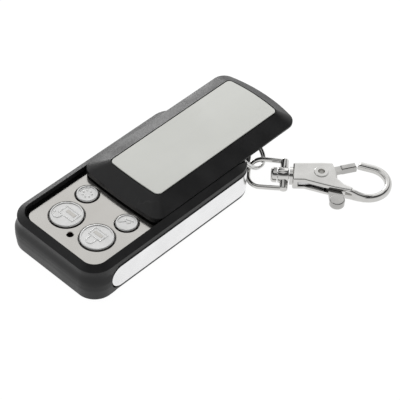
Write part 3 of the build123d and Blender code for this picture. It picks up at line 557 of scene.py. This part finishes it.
def applyModifier(piece, kind, **values):
    pickPiece(piece)
    modifier = piece.modifiers.new("step", kind)
    for key, value in values.items():
        setattr(modifier, key, value)
    bpy.ops.object.modifier_apply(modifier=modifier.name)


def softenEdges(piece, width, segments):
    applyModifier(piece, "BEVEL", width=width * mm, segments=segments, limit_method="ANGLE")


def drawDisc(radius, corners):
    startPiece()
    bpy.ops.mesh.primitive_circle_add(vertices=corners, radius=radius * mm, fill_type="NGON")
    editAll()
    return bpy.context.object


def drawChain(route):
    # Edges from point to point, left in edit mode
    startPiece()
    bpy.ops.mesh.primitive_plane_add(size=seedSize)
    editAll()
    bpy.ops.mesh.merge(type="CENTER")
    bpy.ops.transform.translate(value=route[0])
    for here, there in zip(route, route[1:]):
        pushOut(there - here)
    return bpy.context.object


def drawWire(route, closed, radius, roundness):
    # A chain of edges turned into a round bar
    drawChain(route + route[:1] if closed else route)
    bpy.ops.mesh.select_all(action="SELECT")
    bpy.ops.mesh.remove_doubles(threshold=mergeDistance)
    leaveEdit()
    bpy.ops.object.convert(target="CURVE")
    line = bpy.context.object
    line.data.bevel_depth = radius * mm
    line.data.bevel_resolution = roundness
    line.data.use_fill_caps = True
    bpy.ops.object.convert(target="MESH")
    return bpy.context.object


def shiftMesh(piece, shift):
    pickPiece(piece)
    editAll()
    bpy.ops.transform.translate(value=(shift[0] * mm, shift[1] * mm, 0))
    leaveEdit()


def copyPiece(piece, shift):
    pickPiece(piece)
    bpy.ops.object.duplicate(linked=False)
    copied = bpy.context.object
    shiftMesh(copied, shift)
    return copied


def finishPiece(parts, name, finishName=None, smoothAngle=None):
    pickPiece(parts[0])
    for part in parts:
        part.select_set(True)
    if len(parts) > 1:
        bpy.ops.object.join()
    piece = bpy.context.object
    piece.name = name
    piece.data.name = name
    if smoothAngle:
        bpy.ops.object.shade_smooth_by_angle(angle=math.radians(smoothAngle))
    if finishName:
        piece.data.materials.clear()
        piece.data.materials.append(finishes[finishName])
    return piece


# Raised pictograms on the four buttons

pictogramSettings = {
    "floorHeight": 10.03,
    "lineRise": -0.05,
    "lineRadius": 0.22,
    "lineRoundness": 2,
    "arcSteps": 10,
    "padSink": 0.02,
    "padRise": 0.07,
    "padBevel": 0.03,
    "padBevelSegments": 2,
    "dotRise": 0.17,
    "dotRadius": 0.27,
    "dotCorners": 12,
}
pictograms = {
    "lock_open": {
        "centre": (-19.85, 5.95),
        "boxes": [((-0.9, -3.0), (2.3, 2.1))],
        "pads": [((0.5, -2.3), (1.6, 1.0))],
        "arcs": [{"centre": (-1.7, 1.9), "radius": 1.25, "start": -90, "end": -290, "lead": (-0.9, 0.65)}],
    },
    "lock_closed": {
        "centre": (-19.85, -5.95),
        "boxes": [((-0.55, -1.8), (2.26, 2.7))],
        "pads": [((0.45, -1.05), (1.5, 1.95))],
        "arcs": [{
            "centre": (-2.0, 0.4), "radius": 1.15, "start": -90, "end": -270,
            "lead": (-0.6, -0.75), "tail": (-0.6, 1.55),
        }],
    },
    "dial": {
        "centre": (-10.45, 7.77),
        "arcs": [{"centre": (0.0, 0.0), "radius": 2.2, "start": 25, "end": 110}],
        "dots": {"count": 7, "radius": 1.25, "start": 45},
    },
    "bolt": {
        "centre": (-10.45, -7.77),
        "lines": [[(-1.4, 1.75), (0.15, 0.5), (0.7, 1.15), (1.5, -1.1)], [(-0.3, -0.15), (0.8, -0.8)]],
    },
}


def raiseField(piece, height, settings, material):
    # From its outline, already in edit mode, to a flat raised field with softened edges
    pushOut((0, 0, height * mm))
    bpy.ops.mesh.bevel(offset=settings["padBevel"] * mm, segments=settings["padBevelSegments"])
    leaveEdit()
    piece.data.materials.append(material)
    return piece


def raisePad(low, high, height, settings):
    startPiece()
    bpy.ops.mesh.primitive_plane_add(size=mm)
    editAll()
    bpy.ops.transform.resize(value=(high[0] - low[0], high[1] - low[1], 1))
    middle = ((low[0] + high[0]) / 2 * mm, (low[1] + high[1]) / 2 * mm, height * mm)
    bpy.ops.transform.translate(value=middle)
    return raiseField(bpy.context.object, settings["padRise"], settings, finishes["keypadSheet"])


def raiseDot(place, height, settings):
    dot = drawDisc(settings["dotRadius"], settings["dotCorners"])
    bpy.ops.transform.translate(value=(place[0] * mm, place[1] * mm, height * mm))
    # The dots take the silver with the painted highlight
    return raiseField(dot, settings["dotRise"], settings, finishes["pictogramPaintedHighlight"])


def raiseLine(route, closed, settings):
    # A round bead, half sunk in the button's dish
    line = drawWire(route, closed, settings["lineRadius"], settings["lineRoundness"])
    bpy.ops.object.shade_smooth()
    # The beads take the silver with the painted highlight
    line.data.materials.append(finishes["pictogramPaintedHighlight"])
    return line


def bendLine(arc, steps):
    bent = [arc["lead"]] if "lead" in arc else []
    for step in range(steps + 1):
        angle = math.radians(arc["start"] + (arc["end"] - arc["start"]) * step / steps)
        x = arc["centre"][0] + arc["radius"] * math.cos(angle)
        bent.append((x, arc["centre"][1] + arc["radius"] * math.sin(angle)))
    return bent + [arc["tail"]] if "tail" in arc else bent


def makePictogram(key, drawing, settings):
    centreX, centreY = drawing["centre"]
    lineHeight = settings["floorHeight"] + settings["lineRise"]
    padHeight = settings["floorHeight"] - settings["padSink"]

    def onCap(points):
        return [Vector((centreX + x, centreY + y, lineHeight)) * mm for x, y in points]

    parts = []
    for low, high in drawing.get("boxes", []):
        parts.append(raiseLine(onCap([low, (high[0], low[1]), high, (low[0], high[1])]), True, settings))
    for low, high in drawing.get("pads", []):
        lowPlace = (centreX + low[0], centreY + low[1])
        highPlace = (centreX + high[0], centreY + high[1])
        parts.append(raisePad(lowPlace, highPlace, padHeight, settings))
    for arc in drawing.get("arcs", []):
        parts.append(raiseLine(onCap(bendLine(arc, settings["arcSteps"])), False, settings))
    for line in drawing.get("lines", []):
        parts.append(raiseLine(onCap(line), False, settings))
    if "dots" in drawing:
        dots = drawing["dots"]
        places = []
        for turn in range(dots["count"]):
            angle = math.radians(dots["start"] + 360 * turn / dots["count"])
            x = centreX + dots["radius"] * math.cos(angle)
            places.append((x, centreY + dots["radius"] * math.sin(angle)))
        first = raiseDot(places[0], padHeight, settings)
        parts.append(first)
        for x, y in places[1:]:
            parts.append(copyPiece(first, (x - places[0][0], y - places[0][1])))
    piece = finishPiece(parts, "pictogram_" + key)
    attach(piece, "button_" + key)


for key, drawing in pictograms.items():
    makePictogram(key, drawing, pictogramSettings)
print("pictograms raised on", len(pictograms), "buttons")


# Smooth front of the casing, over its parting groove and the crease below it

noseSettings = {
    "frontX": -31.46,
    "halfWidth": 17.01,
    "cornerRadius": 6.21,
    "cornerSteps": 12,
    "endX": -22.6,
    "bandFoot": 8.45,
    "bandHeight": 0.67,
    "bandThickness": 0.26,
    "bulgeTop": 9.1,
    "bulgeFull": 6.1,
    "bulgeRows": 9,
    "frontProud": 0.64,
    "sideProud": 0.49,
    "creaseTop": 8.0,
    "fadeStart": 0.45,
    "skinThickness": 0.12,
    "smoothAngle": 40,
}


def easeShare(share):
    return share * share * (3 - 2 * share)


def noseRoute(settings, height, bulge, crease):
    # One level of the nose; towards its two ends the bulge dies into the shell
    radius = settings["cornerRadius"]
    route = []
    for side, first in ((1, 90), (-1, 180)):
        for step in range(settings["cornerSteps"] + 1):
            share = step / settings["cornerSteps"]
            near = share if side > 0 else 1 - share
            fade = min(near / settings["fadeStart"], 1.0)
            swell = crease + (bulge - crease) * easeShare(fade)
            front = settings["frontX"] - settings["frontProud"] * swell
            half = settings["halfWidth"] + settings["sideProud"] * swell
            angle = math.radians(first + 90 * share)
            x = front + radius + radius * math.cos(angle)
            y = side * (half - radius) + radius * math.sin(angle)
            route.append(Vector((x, y, height)) * mm)
    return route


def makeNoseBand(settings):
    foot = settings["bandFoot"]
    ends = [Vector((settings["endX"], side * settings["halfWidth"], foot)) * mm for side in (1, -1)]
    band = drawChain(ends[:1] + noseRoute(settings, foot, 0.0, 0.0) + ends[1:])
    bpy.ops.mesh.select_all(action="SELECT")
    pushOut((0, 0, settings["bandHeight"] * mm))
    leaveEdit()
    applyModifier(band, "SOLIDIFY", thickness=settings["bandThickness"] * mm, offset=-1.0)
    rows = []
    for row in range(settings["bulgeRows"]):
        share = row / (settings["bulgeRows"] - 1)
        height = settings["bulgeTop"] + (settings["bulgeFull"] - settings["bulgeTop"]) * share
        crease = (settings["creaseTop"] - height) / (settings["creaseTop"] - settings["bulgeFull"])
        rows.append(drawChain(noseRoute(settings, height, easeShare(share), min(max(crease, 0.0), 1.0))))
        leaveEdit()
    skin = finishPiece(rows, "nose_skin")
    editAll()
    bpy.ops.mesh.bridge_edge_loops()
    bpy.ops.mesh.select_all(action="SELECT")
    bpy.ops.mesh.normals_make_consistent(inside=False)
    leaveEdit()
    applyModifier(skin, "SOLIDIFY", thickness=settings["skinThickness"] * mm, offset=-1.0)
    nose = finishPiece([band, skin], "nose_band", "casingPlastic", settings["smoothAngle"])
    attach(nose, "casing")


makeNoseBand(noseSettings)
print("nose band made")


# The clasp's own frame: along it, level across it, and up

claspSettings = {
    "origin": (32.4368, -12.2624, 2.30087),
    "headingDegrees": -50.0,
    "neckStart": 13.5,
}
claspHeading = math.radians(claspSettings["headingDegrees"])
claspAlong = Vector((math.cos(claspHeading), math.sin(claspHeading), 0))
claspLevel = Vector((-math.sin(claspHeading), math.cos(claspHeading), 0))


def onClasp(u, v, across=claspLevel):
    return (Vector(claspSettings["origin"]) + claspAlong * u + across * v) * mm


# Swivel loop: one bent wire with its bar and a turned boss

loopSettings = {
    "rollDegrees": 15.0,
    "corners": [(0.75, 5.1, 4.2), (0.75, -4.25, 3.4), (11.05, -4.3, 0.3), (11.05, 4.6, 0.3)],
    "cornerSteps": 8,
    "wireRadius": 0.7,
    "wireRoundness": 5,
    "barAt": 11.05,
    "barEnds": (5.15, -4.85),
    "barRadius": 1.2,
    "barCorners": 32,
    "barEdge": 0.4,
    "barEdgeSegments": 3,
    "bossStart": 9.25,
    "bossLength": 3.1,
    "bossRadius": 2.28,
    "bossCorners": 40,
    "boreRadius": 1.1,
    "boreShare": 0.98,
    "bossEdge": 0.25,
    "bossEdgeSegments": 2,
    "smoothAngle": 40,
}


def roundCorners(corners, steps):
    # A closed outline whose corners are arcs of their own radius
    route = []
    for index, (x, y, radius) in enumerate(corners):
        before = Vector(corners[index - 1][:2])
        after = Vector(corners[(index + 1) % len(corners)][:2])
        corner = Vector((x, y))
        inward = (before - corner).normalized()
        outward = (after - corner).normalized()
        half = inward.angle(outward) / 2
        centre = corner + (inward + outward).normalized() * radius / math.sin(half)
        start = corner + inward * radius / math.tan(half) - centre
        sweep = start.angle_signed(corner + outward * radius / math.tan(half) - centre)
        for step in range(steps + 1):
            route.append(centre + Matrix.Rotation(-sweep * step / steps, 2) @ start)
    return route


def makeLoop(settings):
    roll = math.radians(settings["rollDegrees"])
    across = claspLevel * math.cos(roll) + Vector((0, 0, math.sin(roll)))
    outline = roundCorners(settings["corners"], settings["cornerSteps"])
    route = [onClasp(u, v, across) for u, v in outline]
    bentWire = drawWire(route, True, settings["wireRadius"], settings["wireRoundness"])
    boss = drawDisc(settings["bossRadius"], settings["bossCorners"])
    pushOut((0, 0, settings["bossLength"] * mm))
    bpy.ops.mesh.inset(thickness=(settings["bossRadius"] - settings["boreRadius"]) * mm)
    pushOut((0, 0, -settings["bossLength"] * settings["boreShare"] * mm))
    bpy.ops.mesh.select_all(action="SELECT")
    turnMesh(math.radians(90), "Y")
    turnMesh(claspHeading, "Z")
    bpy.ops.transform.translate(value=onClasp(settings["bossStart"], 0))
    leaveEdit()
    softenEdges(boss, settings["bossEdge"], settings["bossEdgeSegments"])
    bar = drawDisc(settings["barRadius"], settings["barCorners"])
    pushOut((0, 0, (settings["barEnds"][0] - settings["barEnds"][1]) * mm))
    bpy.ops.mesh.select_all(action="SELECT")
    turnMesh(roll - math.radians(90), "X")
    turnMesh(claspHeading, "Z")
    bpy.ops.transform.translate(value=onClasp(settings["barAt"], settings["barEnds"][1], across))
    leaveEdit()
    softenEdges(bar, settings["barEdge"], settings["barEdgeSegments"])
    loop = finishPiece([bentWire, boss, bar], "bent_loop", "claspPlating", settings["smoothAngle"])
    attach(loop, "loop")
    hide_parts("swivel_loop")


makeLoop(loopSettings)
print("swivel loop made")


# Neck of the hook, where its cheeks run out into the bent bow

taperSettings = {
    "start": (15.4, -5.21),
    "angleDegrees": -22.0,
    "bendRadius": 6.1,
    "corners": 32,
    "section": (1.1, 1.7),
    "stations": [
        {"advance": 1.7, "turn": 0, "section": (1.12, 1.9)},
        {"advance": 1.0, "turn": 0, "section": (1.12, 1.78)},
        {"advance": 1.0, "turn": 0, "section": (1.115, 1.6)},
        {"advance": 0.0, "turn": 15, "section": (1.105, 1.4)},
        {"advance": 0.0, "turn": 15, "section": (1.085, 1.24)},
        {"advance": 0.0, "turn": 15, "section": (1.04, 1.12)},
    ],
    "smoothAngle": 40,
}


def makeTaper(settings):
    # A round section pushed along the shank and into the bend, shrinking as it goes
    u, v = settings["start"]
    centre = onClasp(claspSettings["neckStart"] + u, v)
    angle = claspHeading + math.radians(settings["angleDegrees"])
    halfWidth, halfThickness = settings["section"]
    taper = drawDisc(1.0, settings["corners"])
    turnMesh(math.radians(90), "Y")
    bpy.ops.transform.resize(value=(1, halfWidth, halfThickness), center_override=(0, 0, 0))
    turnMesh(angle, "Z")
    bpy.ops.transform.translate(value=centre)
    for station in settings["stations"]:
        turn = math.radians(station["turn"])
        length = station["advance"] + 2 * settings["bendRadius"] * math.sin(turn / 2)
        shift = Vector((math.cos(angle + turn / 2), math.sin(angle + turn / 2), 0)) * length * mm
        pushOut(shift)
        centre = centre + shift
        wide = station["section"][0] / halfWidth
        thick = station["section"][1] / halfThickness
        halfWidth, halfThickness = station["section"]
        bpy.ops.transform.resize(value=(wide, wide, thick), center_override=centre)
        turnMesh(turn, "Z", centre)
        angle += turn
    bpy.ops.mesh.select_all(action="SELECT")
    bpy.ops.mesh.normals_make_consistent(inside=False)
    leaveEdit()
    neck = finishPiece([taper], "hook_neck", "claspPlating", settings["smoothAngle"])
    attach(neck, "hook")


makeTaper(taperSettings)
print("hook neck made")


# Leaf spring of the lever

springSettings = {
    "route": [(1.7, -2.7), (3.6, -2.58), (5.5, -2.5), (7.4, -3.12), (9.2, -3.75)],
    "bendsFrom": 1,
    "halfHeight": 0.55,
    "thickness": 0.3,
    "smoothAngle": 40,
}


def makeSpring(settings):
    middle = [onClasp(claspSettings["neckStart"] + u, v) for u, v in settings["route"]]
    low = Vector((0, 0, -settings["halfHeight"] * mm))
    leaf = drawChain([point + low for point in middle])
    bpy.ops.mesh.select_all(action="SELECT")
    pushOut((0, 0, 2 * settings["halfHeight"] * mm))
    leaveEdit()
    applyModifier(leaf, "SOLIDIFY", thickness=settings["thickness"] * mm, offset=0.0)
    leaf = finishPiece([leaf], "leaf_spring", "springSteel", settings["smoothAngle"])
    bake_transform(leaf)
    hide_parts("lever_spring")


makeSpring(springSettings)
print("leaf spring made")


# Case screws with cross recesses

screwSettings = {
    "places": [(-27.55, 11.0), (-27.55, -11.0), (23.3, 12.9), (23.3, -12.9)],
    "corners": 32,
    "foot": 0.1,
    "headRadius": 1.43,
    "headHeight": 1.28,
    "headEdge": 0.2,
    "headEdgeSegments": 3,
    "shankRadius": 0.85,
    "shankLength": 4.7,
    "slotLength": 1.7,
    "slotWidth": 0.36,
    "slotDepth": 0.6,
    "smoothAngle": 35,
}


def cutSlot(screw, length, width, settings):
    startPiece()
    bpy.ops.mesh.primitive_cube_add(size=mm)
    cutter = bpy.context.object
    editAll()
    bpy.ops.transform.resize(value=(length, width, 2 * settings["slotDepth"]))
    bpy.ops.transform.translate(value=(0, 0, settings["foot"] * mm))
    leaveEdit()
    applyModifier(screw, "BOOLEAN", operation="DIFFERENCE", object=cutter)
    pickPiece(cutter)
    bpy.ops.object.delete()


def makeScrews(settings):
    screw = drawDisc(settings["headRadius"], settings["corners"])
    bpy.ops.transform.translate(value=(0, 0, settings["foot"] * mm))
    pushOut((0, 0, settings["headHeight"] * mm))
    bpy.ops.mesh.inset(thickness=(settings["headRadius"] - settings["shankRadius"]) * mm)
    pushOut((0, 0, settings["shankLength"] * mm))
    bpy.ops.mesh.select_all(action="SELECT")
    bpy.ops.mesh.normals_make_consistent(inside=False)
    leaveEdit()
    softenEdges(screw, settings["headEdge"], settings["headEdgeSegments"])
    cutSlot(screw, settings["slotLength"], settings["slotWidth"], settings)
    cutSlot(screw, settings["slotWidth"], settings["slotLength"], settings)
    screws = [screw] + [copyPiece(screw, place) for place in settings["places"][1:]]
    shiftMesh(screw, settings["places"][0])
    piece = finishPiece(screws, "cross_screws", "screwZinc", settings["smoothAngle"])
    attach(piece, "casing")
    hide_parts("case_screws")


makeScrews(screwSettings)
print("case screws made")
